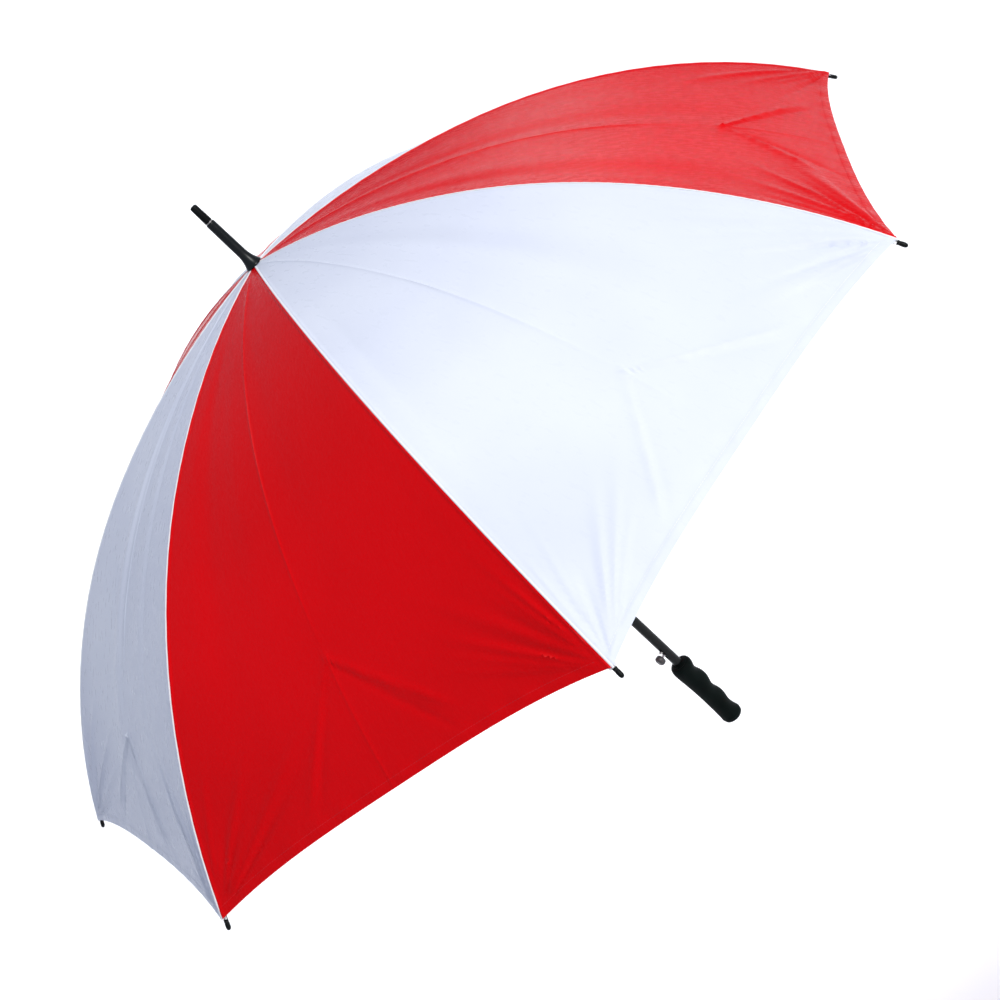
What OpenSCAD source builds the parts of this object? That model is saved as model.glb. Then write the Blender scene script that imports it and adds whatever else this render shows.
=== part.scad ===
// Golf umbrella, open, standing on the end of its grip.
// Millimetres. +Z runs up the shaft, and the origin is the middle of the grip's end.
// Rib 1 lies along +X, the others follow every 45 degrees, and panel n spans ribs n and n + 1.

/* [Canopy] */
// Radius of the canopy at the fabric's corners
canopy_r = 640; // [620:5:660]
// Height of the canopy's top over the end of the grip
apex_z = 888; // [880:1:900]
// Slope of the canopy where it leaves the shaft, in degrees
root_slope = 3.35; // [3:0.05:4]
// Radius of the canopy's arc from the shaft to the stretcher joints
inner_arc_r = 970; // [950:5:990]
// Radius of the canopy's arc from the stretcher joints to the hem
outer_arc_r = 760; // [750:5:780]
// Distance from the shaft's axis to the line where the stretchers join the ribs
joint_r = 292.8; // [285:0.1:300]
// Thickness of the cloth, with its coating and seams averaged in
cloth_t = 0.6; // [0.4:0.1:0.8]
// How far the hem is cut back towards the shaft in the middle of a panel
hem_cut = 8.3; // [5:0.1:12]

/* [Ribs] */
// Width of a rib
rib_w = 3.2; // [3:0.1:3.4]
// Depth of a rib
rib_d = 3.4; // [3.2:0.1:3.6]
// Thickness of the folded steel
rib_wall = 0.5; // [0.4:0.05:0.6]
// Gap between the canopy's outer face and the top of a rib
rib_gap = 1.4; // [1.2:0.1:1.6]
// Length of the cap on a rib's tip
tip_len = 12; // [10:0.5:14]
// Diameter of the cap on a rib's tip
tip_d = 5; // [4.6:0.1:5.4]

/* [Stretchers] */
// Distance between a stretcher's two joints
stretcher_len = 352; // [345:1:360]
// Distance from the shaft's axis to a stretcher's lower end
stretcher_foot_r = 12; // [11.8:0.1:12.4]
// Width and depth of a stretcher
stretcher_w = 3.2; // [3:0.1:3.4]

/* [Shaft] */
// Diameter of the shaft
shaft_d = 13; // [12.8:0.1:13.2]
// Wall of the shaft
shaft_wall = 0.8; // [0.6:0.1:1]
// Diameter of the ring of wire that the ribs hang on
crown_wire_ring_d = 20; // [20:0.5:21]
// Outer diameter of the crown
crown_d = 27; // [26:0.5:28]

/* [Runner] */
// Outer diameter of the runner's slotted flange
runner_flange_d = 28; // [27:0.5:29]
// Length of the runner's sleeve under its flange
runner_tail = 38; // [34:1:42]

/* [Ferrule] */
// Length of the ferrule over the canopy
ferrule_len = 94; // [90:1:98]
// Diameter of the ferrule's foot
ferrule_foot_d = 21.5; // [20:0.5:23]
// Diameter of the ferrule's tip
ferrule_tip_d = 9; // [8.6:0.1:9.4]
// Length of the cap on the ferrule
ferrule_cap_len = 25; // [23:1:27]

/* [Grip] */
// Length of the grip
grip_len = 124; // [122:1:126]
// Diameter of the grip at its widest
grip_d = 33; // [32:0.5:34]
// Depth of the grooves for the fingers
finger_depth = 4; // [3:0.5:4.5]

/* [Button] */
// Height of the push button over the end of the grip
button_z = 148; // [147:1:149]
// How far the button's cap stands out from the shaft's axis
button_reach = 18.4; // [18:0.1:19]
// Direction that the button faces, between two ribs
button_azimuth = 202.5; // [202.5]

/* [Hidden] */
RIBS = 8;
step_angle = 360 / RIBS;
half_step = step_angle / 2;
$fn = 64;
// A full circle's worth of steps for the long, shallow arcs of ribs
ARC_FN = 1440;

// Slope of the canopy's arcs at the joint line and at the corners
joint_slope = asin(joint_r / inner_arc_r + sin(root_slope));
corner_slope = asin((canopy_r - joint_r) / outer_arc_r + sin(joint_slope));
// Centres of the two arcs in a rib's own plane, as [distance from the shaft's axis, height]
inner_centre = [-inner_arc_r * sin(root_slope), apex_z - inner_arc_r * cos(root_slope)];
outer_centre = inner_centre + (inner_arc_r - outer_arc_r) * [sin(joint_slope), cos(joint_slope)];

// Point on the canopy's outer face, a depth under it, where its slope is b
function on_inner(b, depth = 0) = inner_centre + (inner_arc_r - depth) * [sin(b), cos(b)];
function on_outer(b, depth = 0) = outer_centre + (outer_arc_r - depth) * [sin(b), cos(b)];
// Height of the canopy's outer face over a rib at distance r from the axis
function canopy_z(r) = r < joint_r
    ? on_inner(asin(r / inner_arc_r + sin(root_slope)))[1]
    : on_outer(asin((r - joint_r) / outer_arc_r + sin(joint_slope)))[1];

// Joints in a rib's plane
crown_pivot = [crown_wire_ring_d / 2, apex_z - 4];
joint_depth = rib_gap + rib_d - 0.2;
joint_pivot = on_inner(joint_slope, joint_depth);
foot_drop = sqrt(pow(stretcher_len, 2) - pow(joint_pivot[0] - stretcher_foot_r, 2));
foot_pivot = [stretcher_foot_r, joint_pivot[1] - foot_drop];
closed_joint_r = 20;
closed_joint_z = crown_pivot[1]
    - sqrt(pow(norm(joint_pivot - crown_pivot), 2) - pow(closed_joint_r - crown_pivot[0], 2));
closed_foot_z = closed_joint_z
    - sqrt(pow(stretcher_len, 2) - pow(closed_joint_r - stretcher_foot_r, 2));
runner_travel = foot_pivot[1] - closed_foot_z;

// Small parts
wire_r = 0.7;
wire_play = 0.15;
rivet_r = 0.9;
rivet_play = 0.05;
eye_r = 2.2;
cheek_r = 2.6;
cheek_in = 1.7;
cheek_out = 2.3;
fork_in = 2.6;
fork_out = 3.3;
rivet_half = 3.9;
tongue_w = 2.4;
shaft_r = shaft_d / 2;
slot_w = 4;
crown_slot_r = 7.7;
runner_ring_r = 9.2;
sleeve_wall = 2;
press_play = 0.02;
panel_gap = 0.2;
pin_r = 1.4;
pin_play = 0.2;
pin_z = foot_pivot[1] - 14;
spring_seat_z = 165;
// The shaft starts this far up inside the grip
shaft_start_z = 20;
// Depths of the finger grooves' middles under the grip's top, and their radius
finger_marks = [22, 61, 101];
finger_r = 22;
button_r = 6.5;
leaf_half_w = 2.5;
leaf_r = 3.2;

// Turns a module drawn in the XZ plane to rib n
module at_rib(n) rotate([0, 0, (n - 1) * step_angle]) children();
module at_panel(n) rotate([0, 0, (n - 1) * step_angle + half_step]) children();

// Cylinder across a rib's plane, centred on a point in that plane
module cross_cylinder(point, r, width)
    translate([point[0], 0, point[1]]) rotate([90, 0, 0]) cylinder(r = r, h = width, center = true);

// Flat plate in a rib's plane, from an outline of [distance, height] points
module plate(width) rotate([90, 0, 0]) linear_extrude(width, center = true) children();

// Folded channel, open downwards, as a section of an arc with its top at radius r_top
module channel_section(r_top, w, d, wall)
    polygon([
        [r_top, -w / 2], [r_top, w / 2], [r_top - d, w / 2], [r_top - d, w / 2 - wall],
        [r_top - wall, w / 2 - wall], [r_top - wall, -w / 2 + wall], [r_top - d, -w / 2 + wall],
        [r_top - d, -w / 2]
    ]);

// Arc of a rib between two slopes
module rib_arc(centre, r_top, b_from, b_to)
    translate([centre[0], 0, centre[1]]) rotate([90, 0, 0]) rotate([0, 0, 90 - b_to])
        rotate_extrude(angle = b_to - b_from, $fn = ARC_FN)
            channel_section(r_top, rib_w, rib_d, rib_wall);

// Straight bar in a rib's plane from one point to another, as an outline
module bar(from, to, half) {
    along = (to - from) / norm(to - from);
    side = half * [-along[1], along[0]];
    polygon([from - side, to - side, to + side, from + side]);
}

// ---- Shaft ----

module shaft_tube() color("#101314") difference() {
    translate([0, 0, shaft_start_z]) cylinder(r = shaft_r, h = apex_z + 12 - shaft_start_z);
    // Bores above and below the seat of the opening spring, and the hole in the seat
    translate([0, 0, spring_seat_z + 2]) cylinder(r = shaft_r - shaft_wall, h = apex_z);
    translate([0, 0, shaft_start_z - 1])
        cylinder(r = shaft_r - shaft_wall, h = spring_seat_z - shaft_start_z + 1);
    translate([0, 0, 100]) cylinder(r = 3, h = 100);
    // Slots for the pin that the spring pushes
    rotate([0, 0, half_step]) translate([-shaft_d, -pin_r - pin_play, pin_z - runner_travel - 3])
        cube([2 * shaft_d, 2 * (pin_r + pin_play), runner_travel + 6]);
    // Window for the button's spring
    rotate([0, 0, button_azimuth]) translate([0, -3.2, button_z - 8]) cube([shaft_d, 6.4, 16]);
}

module grip() color("#15181a") difference() {
    rotate_extrude($fn = 96) {
        polygon([
            [0, 3], [grip_d / 2 - 5, 3], [grip_d / 2 - 1.5, 7], [grip_d / 2 - 2, grip_len / 2],
            [grip_d / 2 - 0.5, grip_len - 16], [grip_d / 2, grip_len - 10],
            [grip_d / 2 - 2.5, grip_len - 3], [grip_d / 2 - 6.5, grip_len], [0, grip_len]
        ]);
        polygon([[0, 0], [grip_d / 2 - 6.5, 0], [grip_d / 2 - 4, 3], [0, 3]]);
    }
    translate([0, 0, shaft_start_z]) cylinder(r = shaft_r, h = grip_len);
    for (below_top = finger_marks)
        cross_cylinder([grip_d / 2 + finger_r - finger_depth, grip_len - below_top], finger_r, 60);
}

module ferrule() color("#101314") difference() {
    foot_z = apex_z + 0.3;
    rotate_extrude()
        polygon([
            [0, foot_z], [ferrule_foot_d / 2, foot_z], [ferrule_foot_d / 2 - 0.6, foot_z + 2.5],
            [ferrule_foot_d / 2 - 3.2, foot_z + 9], [ferrule_foot_d / 2 - 4.5, foot_z + 20],
            [5.4, apex_z + ferrule_len - ferrule_cap_len], [0, apex_z + ferrule_len - ferrule_cap_len]
        ]);
    translate([0, 0, apex_z - 1]) cylinder(r = shaft_r, h = 13);
}

module ferrule_cap() color("#1b1e20") rotate_extrude() {
    top = apex_z + ferrule_len;
    polygon([
        [0, top - ferrule_cap_len], [ferrule_tip_d / 2, top - ferrule_cap_len],
        [ferrule_tip_d / 2, top - 1.5], [ferrule_tip_d / 2 - 1.2, top], [0, top]
    ]);
}

module crown() color("#1b1e20") difference() {
    translate([0, 0, apex_z - 16]) cylinder(d = crown_d, h = 13.8);
    translate([0, 0, apex_z - 17]) cylinder(r = shaft_r, h = 20);
    for (n = [1:RIBS]) at_rib(n)
        translate([crown_slot_r, -slot_w / 2, apex_z - 17]) cube([10, slot_w, 20]);
    ring_of_wire(crown_wire_ring_d / 2, crown_pivot[1], wire_r + press_play);
}

module ring_of_wire(ring_r, z, r)
    translate([0, 0, z]) rotate_extrude($fn = 96) translate([ring_r, 0]) circle(r = r, $fn = 24);

module crown_wire() color("silver") ring_of_wire(crown_wire_ring_d / 2, crown_pivot[1], wire_r);

// Coil of round wire as one swept solid, with flat ends cut by its last rings
module coil(r, thick, z_from, z_to, turns, per_turn, sides) {
    steps = turns * per_turn;
    points = [for (i = [0:steps]) for (j = [0:sides - 1])
        let (turn = 360 * i / per_turn, round = 360 * j / sides, out = r + thick * cos(round))
        [out * cos(turn), out * sin(turn), z_from + (z_to - z_from) * i / steps + thick * sin(round)]];
    faces = concat(
        [[for (j = [0:sides - 1]) j]],
        [for (i = [0:steps - 1]) for (j = [0:sides - 1]) let (k = (j + 1) % sides)
            [i * sides + j, (i + 1) * sides + j, (i + 1) * sides + k]],
        [for (i = [0:steps - 1]) for (j = [0:sides - 1]) let (k = (j + 1) % sides)
            [i * sides + j, (i + 1) * sides + k, i * sides + k]],
        [[for (j = [sides - 1:-1:0]) steps * sides + j]]
    );
    polyhedron(points, faces);
}

module opening_spring() color("silver")
    coil(r = 4.6, thick = 0.65, z_from = spring_seat_z + 3, z_to = pin_z - pin_r - 1,
        turns = 22, per_turn = 10, sides = 5);

// ---- Button ----

module release_button() color("#15181a") rotate([0, 0, button_azimuth]) difference() {
    translate([button_reach, 0, button_z]) rotate([0, -90, 0])
        intersection() {
            cylinder(r = button_r, h = button_reach - 12);
            translate([-button_r, -5, 0]) cube([2 * button_r, 10, 10]);
        }
    // Socket for the spring's stem
    translate([11, -leaf_half_w - 0.1, button_z - 0.6]) cube([4, 2 * leaf_half_w + 0.2, 1.2]);
}

module catch_spring() color("silver") rotate([0, 0, button_azimuth]) {
    strip = 1.2;
    // Stem from the button into the shaft
    translate([leaf_r, -leaf_half_w, button_z - strip / 2])
        cube([15 - leaf_r, 2 * leaf_half_w, strip]);
    // Leaf inside the shaft
    translate([leaf_r, -leaf_half_w, button_z - 20]) cube([0.8, 2 * leaf_half_w, 30]);
    // Nose of the catch
    translate([leaf_r, -leaf_half_w, button_z + 5]) cube([5.4, 2 * leaf_half_w, 2]);
}

// ---- Runner ----

module runner() color("#1b1e20") difference() {
    z = foot_pivot[1];
    union() {
        translate([0, 0, z - 5]) cylinder(d = runner_flange_d, h = 10);
        translate([0, 0, z + 4]) cylinder(r = shaft_r + sleeve_wall, h = 8);
        translate([0, 0, z - runner_tail]) cylinder(r = shaft_r + sleeve_wall, h = runner_tail);
        translate([0, 0, z - runner_tail]) cylinder(r = shaft_r + 3.2, h = 5);
    }
    translate([0, 0, z - 60]) cylinder(r = shaft_r + 0.1, h = 120);
    for (n = [1:RIBS]) at_rib(n)
        translate([shaft_r + sleeve_wall, -slot_w / 2, z - 6]) cube([20, slot_w, 12]);
    ring_of_wire(runner_ring_r, z, wire_r + press_play);
    rotate([0, 0, half_step]) translate([0, 0, pin_z]) rotate([0, 90, 0])
        cylinder(r = pin_r, h = 60, center = true, $fn = 48);
}

module runner_wire() color("silver") ring_of_wire(runner_ring_r, foot_pivot[1], wire_r);

module drive_pin() color("silver") rotate([0, 0, half_step]) translate([0, 0, pin_z])
    rotate([0, 90, 0]) cylinder(r = pin_r, h = 2 * shaft_r + 4, center = true, $fn = 48);

// ---- Ribs ----

// Slopes where the channels of the two halves of a rib start and end
channel_start = asin(16 / inner_arc_r + sin(root_slope));
saddle_angle = 12 / inner_arc_r * 180 / PI;
outer_start = joint_slope + 7 / outer_arc_r * 180 / PI;

module rib_inner(n) color("#2a2d2f") at_rib(n) {
    difference() {
        union() {
            rib_arc(inner_centre, inner_arc_r - rib_gap, channel_start, joint_slope - saddle_angle / 2);
            // Eye on the crown's wire
            cross_cylinder(crown_pivot, eye_r, tongue_w);
            start = on_inner(channel_start + 0.2, rib_gap + rib_d / 2);
            plate(tongue_w) bar(crown_pivot, start, 1.3);
            saddle();
        }
        cross_cylinder(crown_pivot, wire_r + wire_play, 10);
    }
    cross_cylinder(joint_pivot, rivet_r, 2 * rivet_half);
    for (side = [-1, 1]) translate([0, side * (rivet_half - 0.2), 0])
        cross_cylinder(joint_pivot, 1.7, 0.4);
}

// Cheeks and lid at the end of the inner half, which carry the rivet
module saddle() {
    back = on_inner(joint_slope - saddle_angle, joint_depth);
    top_back = on_inner(joint_slope - saddle_angle, rib_gap);
    top_front = on_inner(joint_slope, rib_gap);
    under = joint_pivot - 2 * [sin(joint_slope), cos(joint_slope)];
    side_mid = (cheek_in + cheek_out) / 2;
    for (side = [-1, 1]) translate([0, side * side_mid, 0]) {
        plate(cheek_out - cheek_in) polygon([back, top_back, top_front, joint_pivot, under]);
        cross_cylinder(joint_pivot, cheek_r, cheek_out - cheek_in);
    }
    // Lid over the cheeks, a little proud of the channel
    lid_top = rib_gap - 0.25;
    lid_under = rib_gap + 0.75;
    plate(2 * cheek_out)
        polygon([
            on_inner(joint_slope - saddle_angle, lid_top), on_inner(joint_slope, lid_top),
            on_inner(joint_slope, lid_under), on_inner(joint_slope - saddle_angle, lid_under)
        ]);
}

module rib_outer(n) color("#2a2d2f") at_rib(n) {
    rib_arc(outer_centre, outer_arc_r - rib_gap, outer_start, corner_slope);
    difference() {
        union() {
            cross_cylinder(joint_pivot, eye_r, tongue_w);
            plate(tongue_w) bar(joint_pivot, on_outer(outer_start + 0.3, rib_gap + rib_d / 2), 1.3);
        }
        cross_cylinder(joint_pivot, rivet_r + rivet_play, 10);
    }
}

module rib_tip(n) color("#101314") at_rib(n) {
    end = on_outer(corner_slope, rib_gap + rib_d / 2);
    translate([end[0], 0, end[1]]) rotate([0, 90 + corner_slope, 0]) translate([0, 0, 0.1])
        rotate_extrude($fn = 32)
            polygon([
                [0, 0], [tip_d / 2 - 0.4, 0], [tip_d / 2, 1], [tip_d / 2, tip_len - 2],
                [tip_d / 2 - 1, tip_len - 0.4], [tip_d / 2 - 1.8, tip_len], [0, tip_len]
            ]);
}

// ---- Stretchers ----

module stretcher(n) color("#2a2d2f") at_rib(n) {
    down = atan2(foot_drop, joint_pivot[0] - stretcher_foot_r);
    // Drawn along X from the rib's joint, then turned to the runner
    translate([joint_pivot[0], 0, joint_pivot[1]]) rotate([0, -180 - down, 0]) mirror([0, 0, 1]) {
        difference() {
            union() {
                for (side = [-1, 1]) translate([0, side * (fork_in + fork_out) / 2, 0]) {
                    cross_cylinder([0, 0], eye_r, fork_out - fork_in);
                    plate(fork_out - fork_in) translate([0, -1.6]) square([12, 3.2]);
                }
            }
            cross_cylinder([0, 0], rivet_r + rivet_play, 10);
        }
        translate([9, -fork_out, -1.6]) cube([5, 2 * fork_out, 3.2]);
        translate([12, 0, 0]) rotate([90, 0, 90]) linear_extrude(stretcher_len - 22)
            translate([0, stretcher_w / 2]) rotate(90)
                channel_section(0, stretcher_w, stretcher_w, rib_wall);
        // Tongue that runs into the runner
        translate([stretcher_len - 14, -tongue_w / 2, -1.3]) cube([14, tongue_w, 2.6]);
    }
}

// ---- Canopy panels ----
// A panel is bent one way only: its outline from above is cut out of a sheet whose
// height depends on the distance from the shaft along the panel's middle.

squeeze = cos(half_step);
function sheet_outline(r_from, r_to, steps) = concat(
    [for (i = [0:steps]) let (r = r_from + (r_to - r_from) * i / steps) [r * squeeze, canopy_z(r)]],
    [for (i = [steps:-1:0]) let (r = r_from + (r_to - r_from) * i / steps)
        [r * squeeze, canopy_z(r) - cloth_t]]
);

// Outline from above, between two distances, with a scalloped hem if asked for
module gore(x_from, x_to, scallop) {
    t = tan(half_step);
    inset = panel_gap / cos(half_step);
    hem_steps = 10;
    hem = [for (i = [-hem_steps:hem_steps]) let (s = i / hem_steps)
        [x_to - scallop * (1 - pow(abs(s), 3.2)), s * (x_to * t - inset)]];
    polygon(concat([[x_from, x_from * t - inset], [x_from, inset - x_from * t]], hem));
}

module cloth(n, r_from, r_to, steps, scallop)
    color(n % 2 == 0 ? "#c8101c" : "#e9edf4") at_panel(n) intersection() {
        rotate([90, 0, 0]) linear_extrude(2 * canopy_r, center = true)
            polygon(sheet_outline(r_from, r_to + 5, steps));
        linear_extrude(2 * apex_z) gore(r_from * squeeze, r_to * squeeze, scallop);
    }

module panel_inner(n) cloth(n, 8.4, joint_r - 0.15, 8, 0);
module panel_outer(n) cloth(n, joint_r + 0.15, canopy_r, 14, hem_cut);

shaft_tube();
grip();
ferrule();
ferrule_cap();
crown();
crown_wire();
opening_spring();
release_button();
catch_spring();
runner();
runner_wire();
drive_pin();
for (n = [1:RIBS]) {
    rib_inner(n);
    rib_outer(n);
    rib_tip(n);
    stretcher(n);
    panel_inner(n);
    panel_outer(n);
}
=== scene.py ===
"""Golf umbrella: the looks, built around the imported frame.

Metres, in the frame of the CAD model: +Z runs up the shaft and the origin is the end of the grip.
Rib 1 lies along +X, the others follow every 45 degrees, and panel n spans ribs n and n + 1.
"""

import random
from math import asin, cos, pi, radians, sin, tan

import bpy
import numpy as np
from mathutils import Matrix, Vector


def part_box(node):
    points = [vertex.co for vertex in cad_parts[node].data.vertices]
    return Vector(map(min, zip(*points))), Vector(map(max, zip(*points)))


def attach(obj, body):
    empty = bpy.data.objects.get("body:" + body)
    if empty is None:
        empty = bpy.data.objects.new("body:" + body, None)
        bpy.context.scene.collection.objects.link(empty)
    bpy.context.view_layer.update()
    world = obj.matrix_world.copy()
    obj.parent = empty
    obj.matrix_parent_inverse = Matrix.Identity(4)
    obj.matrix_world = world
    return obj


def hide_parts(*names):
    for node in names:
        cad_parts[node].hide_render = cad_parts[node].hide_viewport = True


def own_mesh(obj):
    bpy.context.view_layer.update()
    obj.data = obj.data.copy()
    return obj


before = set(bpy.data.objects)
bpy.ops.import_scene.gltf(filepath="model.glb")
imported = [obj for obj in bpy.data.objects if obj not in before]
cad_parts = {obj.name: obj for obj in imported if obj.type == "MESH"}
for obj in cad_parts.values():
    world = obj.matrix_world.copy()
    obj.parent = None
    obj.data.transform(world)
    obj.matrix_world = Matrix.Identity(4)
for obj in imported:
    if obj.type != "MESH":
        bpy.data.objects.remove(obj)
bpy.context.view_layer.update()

MM = 0.001
SHARP = radians(50)
RIBS = range(1, 9)
STEP = radians(45)
HALF = STEP / 2


# ---- Camera ----

EYE = Vector((0.1061, -1.7133, 1.1654))
HEADING, PITCH, ROLL = radians(3.686), radians(-22.054), radians(-46.872)
LENS, SENSOR = 53.54, 36.0


def make_camera():
    data = bpy.data.cameras.new("camera")
    data.lens, data.sensor_width, data.clip_end = LENS, SENSOR, 60
    camera = bpy.data.objects.new("camera", data)
    bpy.context.scene.collection.objects.link(camera)
    turn = Matrix.Rotation(HEADING, 4, "Z") @ Matrix.Rotation(radians(90) + PITCH, 4, "X")
    camera.matrix_world = Matrix.Translation(EYE) @ turn @ Matrix.Rotation(ROLL, 4, "Z")
    bpy.context.scene.camera = camera


make_camera()


# ---- Canopy's shape: two arcs in each rib's plane, as in the CAD model ----

APEX_Z = 0.888
CANOPY_R = 0.640
ROOT_SLOPE = radians(3.35)
INNER_ARC_R, OUTER_ARC_R, JOINT_R = 0.970, 0.760, 0.2928
HEM_CUT = 0.0083
HEM_POWER = 3.2
SQUEEZE = cos(HALF)
JOINT_SLOPE = asin(JOINT_R / INNER_ARC_R + sin(ROOT_SLOPE))
INNER_CENTRE = (-INNER_ARC_R * sin(ROOT_SLOPE), APEX_Z - INNER_ARC_R * cos(ROOT_SLOPE))
OUTER_CENTRE = tuple(
    c + (INNER_ARC_R - OUTER_ARC_R) * f(JOINT_SLOPE) for c, f in zip(INNER_CENTRE, (sin, cos))
)
START_R = 0.0085


def slope_at(r):
    """Slope of the canopy over a rib at distance r from the shaft's axis."""
    r = np.asarray(r, float)
    inner = np.arcsin(np.clip(r / INNER_ARC_R + sin(ROOT_SLOPE), -1, 1))
    outer = np.arcsin(np.clip((r - JOINT_R) / OUTER_ARC_R + sin(JOINT_SLOPE), -1, 1))
    return np.where(r < JOINT_R, inner, outer)


def height_at(r):
    b = slope_at(r)
    inner = INNER_CENTRE[1] + INNER_ARC_R * np.cos(b)
    outer = OUTER_CENTRE[1] + OUTER_ARC_R * np.cos(b)
    return np.where(np.asarray(r, float) < JOINT_R, inner, outer)


_R = np.linspace(0, CANOPY_R * 1.05, 4000)
_Z = height_at(_R)
_MID = np.concatenate([[0], np.cumsum(np.hypot(np.diff(_R) * SQUEEZE, np.diff(_Z)))])
_RIB = np.concatenate([[0], np.cumsum(np.hypot(np.diff(_R), np.diff(_Z)))])


def mid_length(r):
    """Length of cloth along a panel's middle, from the shaft's axis."""
    return np.interp(r, _R, _MID)


def rib_radius(length):
    """Distance from the axis of the point that lies this far along a rib."""
    return np.interp(length, _RIB, _R)


def rib_length(r):
    return np.interp(r, _R, _RIB)


HEM_L = float(mid_length(CANOPY_R))
CORNER_Y = CANOPY_R * sin(HALF)


# ---- Mesh helpers ----


def new_object(name, verts, faces, material, smooth=True):
    mesh = bpy.data.meshes.new(name)
    mesh.from_pydata([tuple(v) for v in verts], [], [tuple(f) for f in faces])
    mesh.validate()
    if smooth:
        mesh.shade_smooth()
        mesh.set_sharp_from_angle(angle=SHARP)
    obj = bpy.data.objects.new(name, mesh)
    bpy.context.scene.collection.objects.link(obj)
    mesh.materials.append(material)
    return obj


def turned(points, angle):
    """Points turned about the shaft's axis."""
    c, s = cos(angle), sin(angle)
    p = np.asarray(points, float)
    return np.stack([p[..., 0] * c - p[..., 1] * s, p[..., 0] * s + p[..., 1] * c, p[..., 2]], -1)


def grid_faces(rows, cols, offset=0, flip=False, closed=False):
    i = np.arange(rows - 1)[:, None]
    j = np.arange(cols if closed else cols - 1)[None, :]
    k = (j + 1) % cols
    quad = np.stack([i * cols + j, i * cols + k, (i + 1) * cols + k, (i + 1) * cols + j], -1)
    quad = quad.reshape(-1, 4) + offset
    return quad[:, ::-1] if flip else quad


def skin(top, under):
    """A closed shell between two grids of points of the same size."""
    rows, cols = top.shape[:2]
    count = rows * cols
    verts = np.concatenate([top.reshape(-1, 3), under.reshape(-1, 3)])
    faces = [grid_faces(rows, cols), grid_faces(rows, cols, count, flip=True)]
    rim = np.concatenate([
        np.arange(cols), np.arange(1, rows) * cols + cols - 1,
        (rows - 1) * cols + np.arange(cols - 2, -1, -1), np.arange(rows - 2, 0, -1) * cols,
    ])
    after = np.roll(rim, -1)
    faces.append(np.stack([after, rim, rim + count, after + count], -1))
    return verts, np.concatenate(faces)


def lathe(name, outline, material, segments=64, centre=(0, 0, 0), axis=(0, 0, 1), shape=None):
    """A turned solid from (radius, height) points, closed at both ends on its axis."""
    outline = [(max(r, 1e-5), z) for r, z in outline]
    turn = np.linspace(0, 2 * pi, segments, endpoint=False)
    r = np.array([p[0] for p in outline])[:, None]
    z = np.array([p[1] for p in outline])[:, None]
    if shape is not None:
        r = shape(r, z, turn[None, :])
    points = np.stack([r * np.cos(turn), r * np.sin(turn), np.broadcast_to(z, (len(z), segments))], -1)
    faces = [tuple(f) for f in grid_faces(len(outline), segments, closed=True)]
    faces += [tuple(range(segments - 1, -1, -1))]
    last = (len(outline) - 1) * segments
    faces += [tuple(last + np.arange(segments))]
    spin = Vector((0, 0, 1)).rotation_difference(Vector(axis)).to_matrix()
    verts = points.reshape(-1, 3) @ np.array(spin).T + np.array(centre)
    return new_object(name, verts, faces, material)


def rounded(outline, radius_steps=6, size=0.0012):
    """Rounds the corners of an open (radius, height) outline with small arcs."""
    out = [outline[0]]
    for before, here, after in zip(outline, outline[1:], outline[2:]):
        a, b, c = Vector(before), Vector(here), Vector(after)
        cut = min(size, (a - b).length * 0.45, (c - b).length * 0.45)
        start, end = b + (a - b).normalized() * cut, b + (c - b).normalized() * cut
        for i in range(radius_steps + 1):
            t = i / radius_steps
            out.append(tuple(start * (1 - t) ** 2 + b * 2 * t * (1 - t) + end * t * t))
    return out + [outline[-1]]


def ribbon(name, centre, side, up, section, material):
    """A closed strip swept along a path. section is a loop of (sideways, upwards) offsets."""
    loop = np.array(section, float)
    points = centre[:, None, :] + side[:, None, :] * loop[None, :, :1] + up[:, None, :] * loop[None, :, 1:]
    rows, cols = points.shape[:2]
    faces = [tuple(f) for f in grid_faces(rows, cols, closed=True)]
    faces += [tuple(range(cols - 1, -1, -1)), tuple((rows - 1) * cols + np.arange(cols))]
    return new_object(name, points.reshape(-1, 3), faces, material)


def tubes(name, runs, radius, material, sides=5):
    """Many short threads in one mesh, each a run of points."""
    verts, faces = [], []
    for run in runs:
        run = np.asarray(run, float)
        along = np.gradient(run, axis=0)
        along /= np.linalg.norm(along, axis=1)[:, None]
        ref = np.array([0.0, 0.0, 1.0]) if abs(along[0][2]) < 0.8 else np.array([1.0, 0.0, 0.0])
        a = np.cross(along, ref)
        a /= np.linalg.norm(a, axis=1)[:, None]
        b = np.cross(along, a)
        base = len(verts)
        for p, u, v in zip(run, a, b):
            for k in range(sides):
                t = 2 * pi * k / sides
                verts.append(p + radius * (cos(t) * u + sin(t) * v))
        faces += [tuple(f) for f in grid_faces(len(run), sides, base, closed=True)]
        faces.append(tuple(base + np.arange(sides)[::-1]))
        faces.append(tuple(base + (len(run) - 1) * sides + np.arange(sides)))
    return new_object(name, verts, faces, material)


# ---- Materials ----


def material(name, color, roughness=0.5, **sockets):
    """A Principled material, with constants set on its own sockets."""
    mat = bpy.data.materials.new(name)
    mat.use_nodes = True
    shader = mat.node_tree.nodes["Principled BSDF"]
    shader.inputs["Base Color"].default_value = (*color, 1)
    shader.inputs["Roughness"].default_value = roughness
    for key, value in sockets.items():
        shader.inputs[key.replace("_", " ")].default_value = value
    return mat


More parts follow.
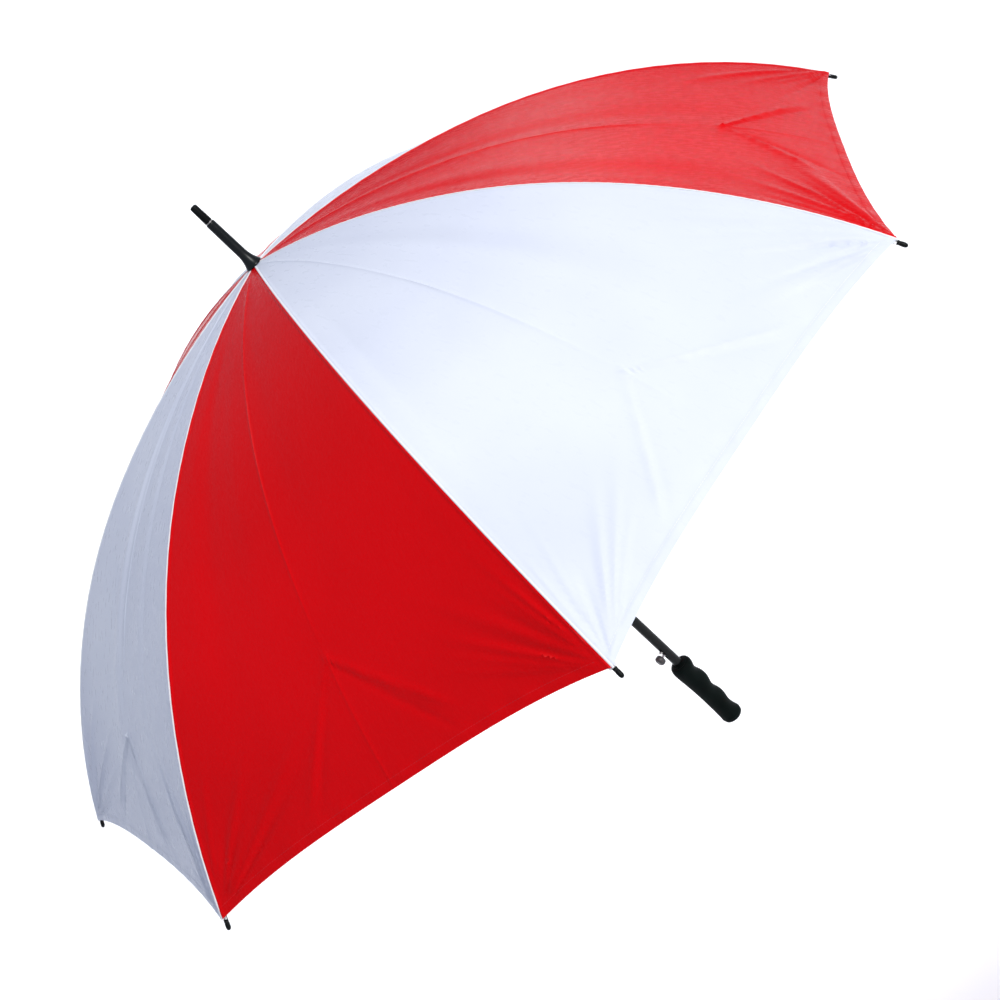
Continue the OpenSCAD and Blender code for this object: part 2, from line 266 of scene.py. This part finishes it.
def add_noise(mat, scale, detail=4.0, stretch=(1, 1, 1), attribute=None):
    nodes, links = mat.node_tree.nodes, mat.node_tree.links
    if attribute:
        source = nodes.new("ShaderNodeAttribute")
        source.attribute_name = attribute
        vector = source.outputs["Vector"]
    else:
        vector = nodes.new("ShaderNodeTexCoord").outputs["Object"]
    mapping = nodes.new("ShaderNodeMapping")
    mapping.inputs["Scale"].default_value = stretch
    links.new(vector, mapping.inputs["Vector"])
    noise = nodes.new("ShaderNodeTexNoise")
    noise.inputs["Scale"].default_value = scale
    noise.inputs["Detail"].default_value = detail
    links.new(mapping.outputs["Vector"], noise.inputs["Vector"])
    return noise.outputs["Fac"]


def ramp(mat, factor, low, high, start=0.3, end=0.7):
    nodes, links = mat.node_tree.nodes, mat.node_tree.links
    node = nodes.new("ShaderNodeValToRGB")
    node.color_ramp.elements[0].position = start
    node.color_ramp.elements[1].position = end
    node.color_ramp.elements[0].color = (*low, 1)
    node.color_ramp.elements[1].color = (*high, 1)
    links.new(factor, node.inputs["Fac"])
    return node.outputs["Color"]


def vary_color(mat, factor, low, high, start=0.3, end=0.7):
    shader = mat.node_tree.nodes["Principled BSDF"]
    mat.node_tree.links.new(ramp(mat, factor, low, high, start, end), shader.inputs["Base Color"])


def vary_roughness(mat, factor, low, high):
    nodes, links = mat.node_tree.nodes, mat.node_tree.links
    node = nodes.new("ShaderNodeMapRange")
    node.inputs["From Min"].default_value = 0.3
    node.inputs["From Max"].default_value = 0.7
    node.inputs["To Min"].default_value = low
    node.inputs["To Max"].default_value = high
    links.new(factor, node.inputs["Value"])
    links.new(node.outputs["Result"], nodes["Principled BSDF"].inputs["Roughness"])


def add_bump(mat, factors, distance):
    """Stacks bumps, each a (factor, strength) pair, into the shader's normal."""
    nodes, links = mat.node_tree.nodes, mat.node_tree.links
    normal = None
    for factor, strength in factors:
        bump = nodes.new("ShaderNodeBump")
        bump.inputs["Strength"].default_value = strength
        bump.inputs["Distance"].default_value = distance
        links.new(factor, bump.inputs["Height"])
        if normal is not None:
            links.new(normal, bump.inputs["Normal"])
        normal = bump.outputs["Normal"]
    links.new(normal, nodes["Principled BSDF"].inputs["Normal"])


def weave(mat, pitch=0.0007):
    """Height of a plain weave from the cloth's own coordinates, held in an attribute."""
    nodes, links = mat.node_tree.nodes, mat.node_tree.links
    source = nodes.new("ShaderNodeAttribute")
    source.attribute_name = "cloth"
    waves = []
    for direction in ("X", "Y"):
        wave = nodes.new("ShaderNodeTexWave")
        wave.bands_direction = direction
        wave.inputs["Scale"].default_value = 0.31 / pitch
        wave.inputs["Distortion"].default_value = 0.4
        wave.inputs["Detail"].default_value = 1.0
        links.new(source.outputs["Vector"], wave.inputs["Vector"])
        waves.append(wave.outputs["Fac"])
    top = nodes.new("ShaderNodeMath")
    top.operation = "MULTIPLY"
    links.new(waves[0], top.inputs[0])
    links.new(waves[1], top.inputs[1])
    return top.outputs["Value"]


def cloth_material(name, dark, light, rough_low, rough_high, specular):
    mat = material(name, light, 0.4, IOR=1.3, Specular_IOR_Level=specular)
    broad = add_noise(mat, 3.0, 3.0, attribute="cloth")
    fine = add_noise(mat, 60.0, 5.0, attribute="cloth", stretch=(1, 3, 1))
    vary_color(mat, broad, dark, light)
    vary_roughness(mat, fine, rough_low, rough_high)
    add_bump(mat, [(weave(mat), 0.18), (fine, 0.05)], 0.0004)
    return mat


def moulded(name, color, roughness, grain, strength, **sockets):
    """Moulded plastic or rubber with a fine grain and handling marks."""
    mat = material(name, color, roughness, **sockets)
    fine = add_noise(mat, grain, 6.0)
    broad = add_noise(mat, 35.0, 4.0)
    lighter = tuple(min(1, c * 1.7 + 0.002) for c in color)
    vary_color(mat, broad, color, lighter)
    vary_roughness(mat, broad, roughness - 0.08, roughness + 0.1)
    add_bump(mat, [(fine, strength)], 0.0003)
    return mat


def enamel(name, color, roughness):
    """Stoved enamel on steel, with faint orange peel and rubbed patches."""
    mat = material(name, color, roughness, Specular_IOR_Level=0.15, Coat_Weight=0.12, Coat_Roughness=0.15)
    peel = add_noise(mat, 700.0, 3.0)
    rub = add_noise(mat, 25.0, 6.0, stretch=(1, 1, 0.15))
    vary_color(mat, rub, color, tuple(c * 1.9 + 0.004 for c in color), 0.45, 0.75)
    vary_roughness(mat, rub, roughness - 0.06, roughness + 0.12)
    add_bump(mat, [(peel, 0.15)], 0.0002)
    return mat


def steel(name, color, roughness):
    mat = material(name, color, roughness, Metallic=1.0)
    drawn = add_noise(mat, 250.0, 5.0, stretch=(1, 1, 0.2))
    vary_color(mat, drawn, tuple(c * 0.75 for c in color), color)
    vary_roughness(mat, drawn, roughness - 0.08, roughness + 0.1)
    add_bump(mat, [(drawn, 0.2)], 0.0002)
    return mat


RED = cloth_material("red cloth", (0.68, 0.0006, 0.0025), (0.78, 0.0008, 0.0035), 0.20, 0.34, 0.26)
WHITE = cloth_material("white cloth", (0.72, 0.76, 0.88), (0.82, 0.86, 0.95), 0.24, 0.40, 0.40)
PIPING = cloth_material("white piping", (0.86, 0.87, 0.88), (0.93, 0.93, 0.94), 0.55, 0.75, 0.3)
THREAD_RED = moulded("red thread", (0.50, 0.004, 0.01), 0.7, 1500.0, 0.5)
THREAD_WHITE = moulded("white thread", (0.75, 0.77, 0.82), 0.7, 1500.0, 0.5)
THREAD_BLACK = moulded("black thread", (0.004, 0.004, 0.005), 0.7, 1500.0, 0.5)
GRIP = moulded("grip rubber", (0.0012, 0.0034, 0.0028), 0.58, 1800.0, 0.25, Specular_IOR_Level=0.05)
PLASTIC = moulded("black plastic", (0.003, 0.004, 0.004), 0.36, 2600.0, 0.12, Specular_IOR_Level=0.12)
BUTTON = moulded("button plastic", (0.030, 0.030, 0.030), 0.42, 2600.0, 0.12)
GLOSS = moulded("ferrule plastic", (0.002, 0.004, 0.004), 0.28, 900.0, 0.08, Specular_IOR_Level=0.35)
SHAFT = enamel("shaft enamel", (0.003, 0.004, 0.004), 0.30)
RIB = enamel("rib enamel", (0.006, 0.007, 0.008), 0.38)
STEEL = steel("plated steel", (0.62, 0.60, 0.57), 0.34)


# ---- Canopy panels ----

THICK = 0.00035
HEM_BAND = 0.009
Y_POINT_R = 0.85 * CANOPY_R
PANEL_COLS = 150
INNER_ROWS, OUTER_ROWS = 56, 120


def graded(low, high, count, density):
    """Sample places from low to high, closer together where density is high."""
    fine = np.linspace(low, high, 4001)
    total = np.concatenate([[0], np.cumsum(density((fine[1:] + fine[:-1]) / 2))])
    return np.interp(np.linspace(0, total[-1], count), total, fine)


ACROSS = graded(-1, 1, PANEL_COLS, lambda s: 1 + 2.5 * np.exp(-((s / 0.03) ** 2))
                + 2.0 * np.exp(-((1 - np.abs(s)) / 0.04)))
ACROSS[0], ACROSS[-1] = -1, 1
# Rows of an outer half's grid, as shares of its length
OUTER_SHARES = graded(0, 1, OUTER_ROWS, lambda v: 1 + 3.0 * np.exp(-((1 - v) / 0.035)))


def hem_radius(s):
    return CANOPY_R - HEM_CUT / SQUEEZE * (1 - np.abs(s) ** HEM_POWER)


def crease(length, y, a, b, height, width):
    """Ridge along the line a-b in the cloth's flat coordinates, fading at its ends."""
    a, b = np.array(a), np.array(b)
    along = b - a
    span = np.linalg.norm(along)
    along = along / span
    dl, dy = length - a[0], y - a[1]
    t = dl * along[0] + dy * along[1]
    d = np.abs(-dl * along[1] + dy * along[0])
    fade = np.clip(t / (0.06 * span + 1e-6) + 1, 0, 1) * np.clip((span - t) / (0.25 * span), 0, 1)
    return height * fade * (np.exp(-d / width) + 0.2 * np.exp(-((d / (6 * width)) ** 2)))


def draw_wrinkles(rng):
    """Ridges that fan out of each of a panel's two corners, as (side, angle, width, reach, height)."""
    fans = []
    for side in (-1, 1):
        angle = radians(10)
        while angle < radians(66):
            height = rng.uniform(1.2, 3.2) * MM * (1 if rng.random() < 0.7 else -1)
            fans.append((side, angle, rng.uniform(0.014, 0.042), rng.uniform(0.05, 0.22), height))
            angle += rng.uniform(0.04, 0.12)
    return fans


def relief(n, length, y, edge, hem):
    """How far panel n's cloth stands out from the plain sheet, from what pulls and creases it."""
    rng = random.Random(700 + n)
    flat = y / np.maximum(edge, 1e-4)
    reach = length / HEM_L
    h = -(5.2 * MM) * (1 - flat**2) * np.clip(reach, 0, 1) ** 1.6
    # Long shallow waves from the shaft outwards
    for _ in range(5):
        place, width = rng.uniform(-0.8, 0.8), rng.uniform(0.05, 0.16)
        size = rng.uniform(-2.0, 2.0) * MM
        h += size * np.exp(-(((flat - place) / width) ** 2)) * np.sin(np.clip(reach, 0, 1) * pi) ** 2
    for side, angle, width, far, height in draw_wrinkles(rng):
        dl, dy = HEM_L - length, CORNER_Y - side * y
        rho, phi = np.hypot(dl, dy), np.arctan2(dy, dl)
        near = np.exp(-(((rho - 0.45 * far) / (0.42 * far)) ** 2))
        h += height * near * np.exp(-(((phi - angle) / width) ** 2))
    # Folds from the way it was packed: one down the middle, and two from a point near the hem
    point = float(mid_length(Y_POINT_R)) + rng.uniform(-0.008, 0.008)
    lean = rng.uniform(-0.006, 0.006)
    h += crease(length, y, (0.05, 0), (point, lean), 0.9 * MM, 1.3 * MM)
    h += crease(length, y, (point, lean), (HEM_L + 0.03, lean * 2), 0.5 * MM, 1.3 * MM)
    for side in (-1, 1):
        spread = rng.uniform(0.095, 0.115)
        end = (HEM_L - rng.uniform(0.030, 0.050), side * spread)
        second = (HEM_L - rng.uniform(0.018, 0.030), side * (spread - rng.uniform(0.004, 0.012)))
        h += crease(length, y, (point, lean), end, 2.2 * MM, 1.4 * MM)
        h += crease(length, y, (point + 0.002, lean), second, -1.5 * MM, 1.5 * MM)
    # Crumpled cloth by the corners
    gap = edge - np.abs(y)
    crumple = np.sin(length / 0.0105 + 3 * n) * np.sin(y / 0.0082 + 2.3 * n)
    h += 1.3 * MM * crumple * np.exp(-((HEM_L - length) / 0.05)) * np.exp(-gap / 0.03)
    # The seams hold the cloth up by the ribs
    h *= np.clip(gap / 0.012, 0, 1)
    h = np.where(h < 0, h * np.clip(gap / 0.03, 0, 1), h)
    # Seam allowance folded under the red cloth, puckered by its stitches
    fold = (1.1 if n % 2 == 0 else 0.5) * MM
    h += fold * np.exp(-(((gap - 2.6 * MM) / (1.7 * MM)) ** 2)) * np.clip(reach * 6, 0, 1)
    h += 0.16 * MM * np.sin(length / 0.0046 + n) * np.exp(-gap / 0.007)
    # Doubled hem, puckered by its stitches
    band = np.clip((HEM_BAND - hem) / (1.2 * MM) + 0.5, 0, 1)
    h += 0.6 * MM * band
    h += 0.35 * MM * np.sin(y / 0.0058 + 2 * n) * np.exp(-((hem - HEM_BAND) ** 2) / 0.00006)
    return h, band


def panel_grid(n, r, s):
    """Points of panel n's outer face, its normals, flat coordinates and hem band.

    r is a point's distance from the axis along a rib, and s its place across, from -1 to 1.
    """
    length = mid_length(r)
    edge = r * sin(HALF)
    y = s * edge
    hem = mid_length(hem_radius(s)) - length
    h, band = relief(n, length, y, edge, hem)
    # The corners and the seams themselves stay where the ribs hold them
    hold = np.clip((edge - np.abs(y)) / 0.0015, 0, 1)
    h = h * hold
    slope = np.arctan2(np.tan(slope_at(r)), SQUEEZE)
    points = np.stack([r * SQUEEZE, y, height_at(r)], -1)
    normal = np.stack([np.sin(slope), np.zeros_like(slope), np.cos(slope)], -1)
    return points + normal * h[..., None], normal, np.stack([length, y], -1), band


def add_cloth_coordinates(obj, flat, copies):
    """Keeps the flat coordinates on the mesh, for the weave."""
    values = np.tile(flat.reshape(-1, 2), (copies, 1))
    values = np.concatenate([values, np.zeros((len(values), 1))], 1)
    attribute = obj.data.attributes.new("cloth", "FLOAT_VECTOR", "POINT")
    attribute.data.foreach_set("vector", values.astype(np.float32).ravel())


def panel_angle(n):
    return (n - 1) * STEP + HALF


def fold_with_frame(obj):
    """Gives the object its own copy of its mesh."""
    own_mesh(obj)


def flat_area(r_from, r_to):
    """Area of a panel's cut between two distances from the axis, with the hem's curve taken off."""
    r = np.linspace(r_from, r_to, 400)
    area = float(np.sum((r[1:] + r[:-1]) * sin(HALF) * np.diff(mid_length(r))))
    if r_to >= CANOPY_R:
        s = np.linspace(-1, 1, 401)
        lost = mid_length(CANOPY_R) - mid_length(hem_radius(s))
        area -= float(np.mean(lost)) * 2 * CORNER_Y
    return area


def make_panel(n, part):
    cloth = RED if n % 2 == 0 else WHITE
    if part == "inner":
        r_from, r_to = START_R, JOINT_R
        t, end = np.linspace(0, 1, INNER_ROWS), JOINT_R + 0 * ACROSS
    else:
        r_from, r_to = JOINT_R, CANOPY_R
        t, end = OUTER_SHARES, hem_radius(ACROSS)
    s = np.broadcast_to(ACROSS, (len(t), len(ACROSS)))
    points, normal, flat, band = panel_grid(n, r_from + t[:, None] * (end - r_from), s)
    thick = THICK + 0.0007 * band
    verts, faces = skin(points, points - normal * thick[..., None])
    obj = new_object(f"panel_{part}_cloth_{n}", turned(verts, panel_angle(n)), faces, cloth)
    add_cloth_coordinates(obj, flat, 2)
    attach(obj, f"panel_{part}_{n}")
    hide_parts(f"panel_{part}_{n}")
    flat_area(r_from, r_to)
    fold_with_frame(obj)
    return points, normal


def hem_stitches(n, points, normal):
    """A row of stitches round the hem, laid on the panel's own face."""
    # Row of the grid where the hem band starts
    depth = (1 - OUTER_SHARES) * float(mid_length(CANOPY_R) - mid_length(JOINT_R))
    place = float(np.interp(-0.0072, -depth, np.arange(OUTER_ROWS)))
    low, share = int(place), place - int(place)
    line = points[low] * (1 - share) + points[low + 1] * share + normal[low] * 0.00012
    walk = np.concatenate([[0], np.cumsum(np.linalg.norm(np.diff(line, axis=0), axis=1))])
    pitch, long = 0.0032, 0.0023
    runs = []
    for k in range(2, int(walk[-1] / pitch) - 2):
        ends = [k * pitch, k * pitch + long / 2, k * pitch + long]
        run = np.stack([np.interp(ends, walk, line[:, i]) for i in range(3)], -1)
        run[[0, 2]] -= normal[low][PANEL_COLS // 2] * 0.00022
        runs.append(run)
    runs = [turned(run, panel_angle(n)) for run in runs]
    obj = tubes(f"hem_stitches_{n}", runs, 0.00024, THREAD_RED if n % 2 == 0 else THREAD_WHITE)
    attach(obj, f"panel_outer_{n}")
    fold_with_frame(obj)


for n in RIBS:
    make_panel(n, "inner")
    hem_stitches(n, *make_panel(n, "outer"))


# ---- Closure strap, sewn to a back panel and lying on it ----


def closure_strap():
    n, width, long = 3, 0.024, 0.150
    length = np.linspace(HEM_L - 0.014 - long, HEM_L - 0.014, 60)[:, None]
    y = np.linspace(-width / 2, width / 2, 13)[None, :] + 0.020
    r = np.interp(length, _MID, _R) + 0 * y
    points, normal, flat, _ = panel_grid(n, r, y / (r * sin(HALF)))
    stitched = 0.00025 * np.exp(-(((y - 0.020) / (width / 2)) ** 8))
    top = points + normal * (0.0011 + stitched + 0 * r)[..., None]
    verts, faces = skin(top, points + normal * 0.0004)
    strap = new_object("closure_strap", turned(verts, panel_angle(n)), faces, WHITE)
    add_cloth_coordinates(strap, flat, 2)
    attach(strap, f"panel_outer_{n}")
    fold_with_frame(strap)
    # Press stud near the strap's free end
    place = turned(top[-8, 6], panel_angle(n))
    axis = turned(normal[-8, 6], panel_angle(n))
    stud = lathe("strap_stud", rounded([
        (0, -0.0003), (0.0058, -0.0003), (0.0060, 0.0005), (0.0048, 0.0012), (0.0030, 0.0013), (0, 0.0009),
    ], size=0.0004), STEEL, 32, place, axis)
    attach(stud, f"panel_outer_{n}")
    fold_with_frame(stud)


closure_strap()


# ---- Seams: piping on top of each rib and a tape under it ----


def rib_path(n, l_from, l_to, lift, spacing=0.004):
    """Points, sideways and outward directions along rib n, lifted off the canopy."""
    count = max(2, int((l_to - l_from) / spacing))
    r = rib_radius(np.linspace(l_from, l_to, count))
    b = slope_at(r)
    up = np.stack([np.sin(b), 0 * b, np.cos(b)], -1)
    centre = np.stack([r, 0 * r, height_at(r)], -1) + up * lift
    side = np.tile([0.0, 1.0, 0.0], (count, 1))
    a = (n - 1) * STEP
    return turned(centre, a), turned(side, a), turned(up, a)


JOINT_L = float(rib_length(JOINT_R))
CORNER_L = float(rib_length(CANOPY_R))


def half_round(width, height, steps=8):
    top = [(width / 2 * cos(pi * i / steps), height * sin(pi * i / steps)) for i in range(steps + 1)]
    return top + [(-width / 2, -0.0004), (width / 2, -0.0004)]


def seam(n, part):
    l_from, l_to = (0.0115, JOINT_L) if part == "inner" else (JOINT_L, CORNER_L + 0.001)
    centre, side, up = rib_path(n, l_from, l_to, 0.0)
    walk = np.linspace(l_from, l_to, len(centre))
    centre = centre + up * (0.00012 * np.sin(walk / 0.0019))[:, None]
    piping = ribbon(f"piping_{part}_{n}", centre, side, up, half_round(0.0023, 0.0011), PIPING)
    add_cloth_coordinates(piping, np.zeros((len(piping.data.vertices), 2)), 1)
    centre, side, up = rib_path(n, l_from, l_to, -0.0012)
    half = 0.0042
    droop = half * tan(HALF) * 0.55
    section = [(half, -droop), (0, 0.0001), (-half, -droop), (-half, -droop - 0.0003), (0, -0.0002),
               (half, -droop - 0.0003)]
    tape = ribbon(f"seam_tape_{part}_{n}", centre, side, up, section, PIPING)
    add_cloth_coordinates(tape, np.zeros((len(tape.data.vertices), 2)), 1)
    for obj in (piping, tape):
        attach(obj, f"rib_{part}_{n}")


for n in RIBS:
    seam(n, "inner")
    seam(n, "outer")


# ---- Rib tips ----


def rib_tip(n):
    """Cap with a collar, a waist for the thread and a round nose."""
    centre, side, up = rib_path(n, CORNER_L - 0.001, CORNER_L, -0.0031)
    along = np.cross(side[-1], up[-1])
    outline = rounded([
        (0, 0.0), (0.0021, 0.0), (0.0024, 0.0008), (0.0024, 0.0022), (0.00205, 0.0027),
        (0.00205, 0.0042), (0.00245, 0.0048), (0.00245, 0.0095), (0.0016, 0.0116), (0, 0.0121),
    ], size=0.0008)
    cap = lathe(f"rib_tip_cap_{n}", outline, PLASTIC, 32, centre[-1] + along * 0.0001, along)
    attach(cap, f"rib_outer_{n}")
    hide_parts(f"rib_tip_{n}")
    # Turns of thread that hold the canopy's corner to the cap
    turns = []
    for k in range(4):
        t = np.linspace(0, 2 * pi, 25)
        place = centre[-1] + along * (0.0029 + 0.0003 * k)
        ring = np.outer(np.cos(t), side[-1]) + np.outer(np.sin(t), up[-1])
        turns.append(place + 0.0022 * ring + np.outer(t / (2 * pi) * 0.0002, along))
    thread = tubes(f"tip_thread_{n}", turns, 0.00016, THREAD_BLACK, 6)
    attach(thread, f"rib_outer_{n}")


for n in RIBS:
    rib_tip(n)


# ---- Ferrule ----


def make_ferrule():
    foot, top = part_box("ferrule")[0].z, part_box("ferrule_cap")[1].z
    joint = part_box("ferrule_cap")[0].z
    flare = [(0.0, foot)]
    foot_r, neck_r, flare_h = 0.01075, 0.0060, 0.019
    flare += [(foot_r, foot), (foot_r, foot + 0.0012)]
    for i in range(1, 13):
        t = i / 12
        flare.append((neck_r + (foot_r - neck_r) * (1 - t) ** 2.1, foot + 0.0012 + flare_h * t))
    flare += [(0.0056, joint - 0.002), (0.0050, joint - 0.0006), (0.0, joint - 0.0006)]
    body = lathe("ferrule_body", rounded(flare, size=0.0006), GLOSS, 72)
    ring = lathe("ferrule_ring", rounded(
        [(0, joint - 0.0006), (0.0047, joint - 0.0006), (0.0047, joint + 0.0006), (0, joint + 0.0006)],
        size=0.0003), STEEL, 64)
    nose = rounded([
        (0, joint + 0.0006), (0.0046, joint + 0.0006), (0.0049, joint + 0.0014), (0.0046, top - 0.006),
        (0.0044, top - 0.0012), (0.0030, top), (0, top),
    ], size=0.0014)
    cap = lathe("ferrule_nose", nose, PLASTIC, 64)
    dressed = ((body, "ferrule", "ferrule"), (ring, None, "wire"), (cap, "ferrule_cap", "plastic"))
    for obj, node, slot in dressed:
        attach(obj, "shaft")
        if node:
            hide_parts(node)


make_ferrule()


# ---- Grip ----


def make_grip():
    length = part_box("grip")[1].z
    # Height, depth and half width of each groove
    valleys = [(length - 0.022, 0.0044, 0.0105), (length - 0.0605, 0.0040, 0.0115),
               (length - 0.099, 0.0030, 0.0140)]

    def shape(r, z, turn):
        """Grooves for the fingers on the +X side, and a palm side that bows in a little."""
        facing = np.clip(np.cos(turn), 0, 1) ** 1.3
        grooves = sum(d * np.exp(-(((z - v) / w) ** 2)) for v, d, w in valleys)
        inside = np.clip(r / 0.010, 0, 1) ** 2
        palm = 0.0010 * np.clip(-np.cos(turn), 0, 1) * np.exp(-(((z - 0.55 * length) / 0.03) ** 2))
        return r - (grooves * facing + palm) * inside

    side = [(0.0155, 0.0095), (0.0150, 0.0150), (0.0147, 0.030), (0.0149, 0.050), (0.0154, 0.070),
            (0.0158, 0.090), (0.0163, 0.104), (0.0164, 0.112)]
    outline = [(0.0, 0.0), (0.0055, 0.0002), (0.0105, 0.0016), (0.0140, 0.0044)]
    smooth = np.array(side)
    z = np.linspace(side[0][1], side[-1][1], 90)
    outline += [(float(np.interp(v, smooth[:, 1], smooth[:, 0])), float(v)) for v in z]
    outline += [(0.0158, 0.1165), (0.0146, 0.1200), (0.0128, 0.1220), (0.0120, 0.1217), (0.0112, 0.1228),
                (0.0085, 0.1239), (0.0067, 0.1240), (0.0066, 0.1180), (0, 0.1180)]
    grip = lathe("grip_body", rounded(outline, 4, 0.0006), GRIP, 128, shape=shape)
    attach(grip, "shaft")
    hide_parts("grip")


make_grip()


# ---- Push button ----


def make_button():
    low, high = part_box("release_button")
    middle = (low + high) / 2
    a = radians(202.5)
    out = Vector((cos(a), sin(a), 0))
    foot = Vector((0, 0, middle.z)) + out * 0.0108
    outline = rounded([
        (0, 0), (0.0058, 0), (0.0072, 0.0012), (0.0076, 0.0038), (0.0074, 0.0066), (0.0054, 0.0086),
        (0, 0.0090),
    ], size=0.0014)

    def flatten(r, z, turn):
        return r * (1 - 0.10 * np.abs(np.sin(turn)))

    cap = lathe("button_cap", outline, BUTTON, 48, foot, out, shape=flatten)
    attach(cap, "button")
    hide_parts("release_button")


make_button()


# ---- CAD parts that keep their shape ----


def dress(prefixes, mat):
    for name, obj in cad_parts.items():
        if name.startswith(prefixes):
            obj.data.materials.clear()
            obj.data.materials.append(mat)


dress(("shaft_tube",), SHAFT)
dress(("rib_inner", "rib_outer", "stretcher"), RIB)
dress(("crown", "runner"), PLASTIC)
dress(("crown_wire", "runner_wire", "drive_pin", "opening_spring", "catch_spring"), STEEL)


# ---- Floor and light ----


def make_floor():
    """A pale floor a metre under the grip, swept up into a wall behind."""
    depth, bend, high, wide, floor_z = 7.0, 3.0, 2.2, 22.0, -1.0
    profile = [(-14.0, floor_z), (depth - bend, floor_z)]
    for i in range(1, 17):
        t = pi / 2 * i / 16
        profile.append((depth - bend + bend * sin(t), floor_z + bend - bend * cos(t)))
    profile.append((depth, high))
    verts = [(x, y, z) for y, z in profile for x in (-wide, wide)]
    faces = [(2 * i, 2 * i + 1, 2 * i + 3, 2 * i + 2) for i in range(len(profile) - 1)]
    floor = new_object("floor", verts, faces, material("floor", (0.95, 0.95, 0.955), 0.9))
    return floor


def area_light(name, place, aim, size, power, color=(1, 1, 1)):
    data = bpy.data.lights.new(name, "AREA")
    data.shape, data.size, data.energy, data.color = "DISK", size, power, color
    light = bpy.data.objects.new(name, data)
    bpy.context.scene.collection.objects.link(light)
    light.location = place
    light.rotation_euler = (Vector(aim) - Vector(place)).to_track_quat("-Z", "Y").to_euler()
    return light


floor = make_floor()
area_light("key", (2.4, -3.6, 2.4), (0, 0, 0.6), 1.3, 124, (1.0, 0.985, 0.96))
area_light("top", (1.6, 0.6, 4.4), (0, 0, 0.6), 2.2, 40)
area_light("rim", (3.8, 6.0, 3.8), (0.3, 0, 0.8), 2.2, 20)
wash = area_light("wash", (0.0, 1.5, 6.5), (0, 6, 2.0), 4.0, 600)
only_floor = bpy.data.collections.new("lit by the wash")
only_floor.objects.link(floor)
wash.light_linking.receiver_collection = only_floor

world = bpy.data.worlds.new("studio")
bpy.context.scene.world = world
world.use_nodes = True
world.node_tree.nodes["Background"].inputs["Color"].default_value = (0.76, 0.82, 1.0, 1)
world.node_tree.nodes["Background"].inputs["Strength"].default_value = 0.45
bpy.context.scene.view_settings.view_transform = "Standard"
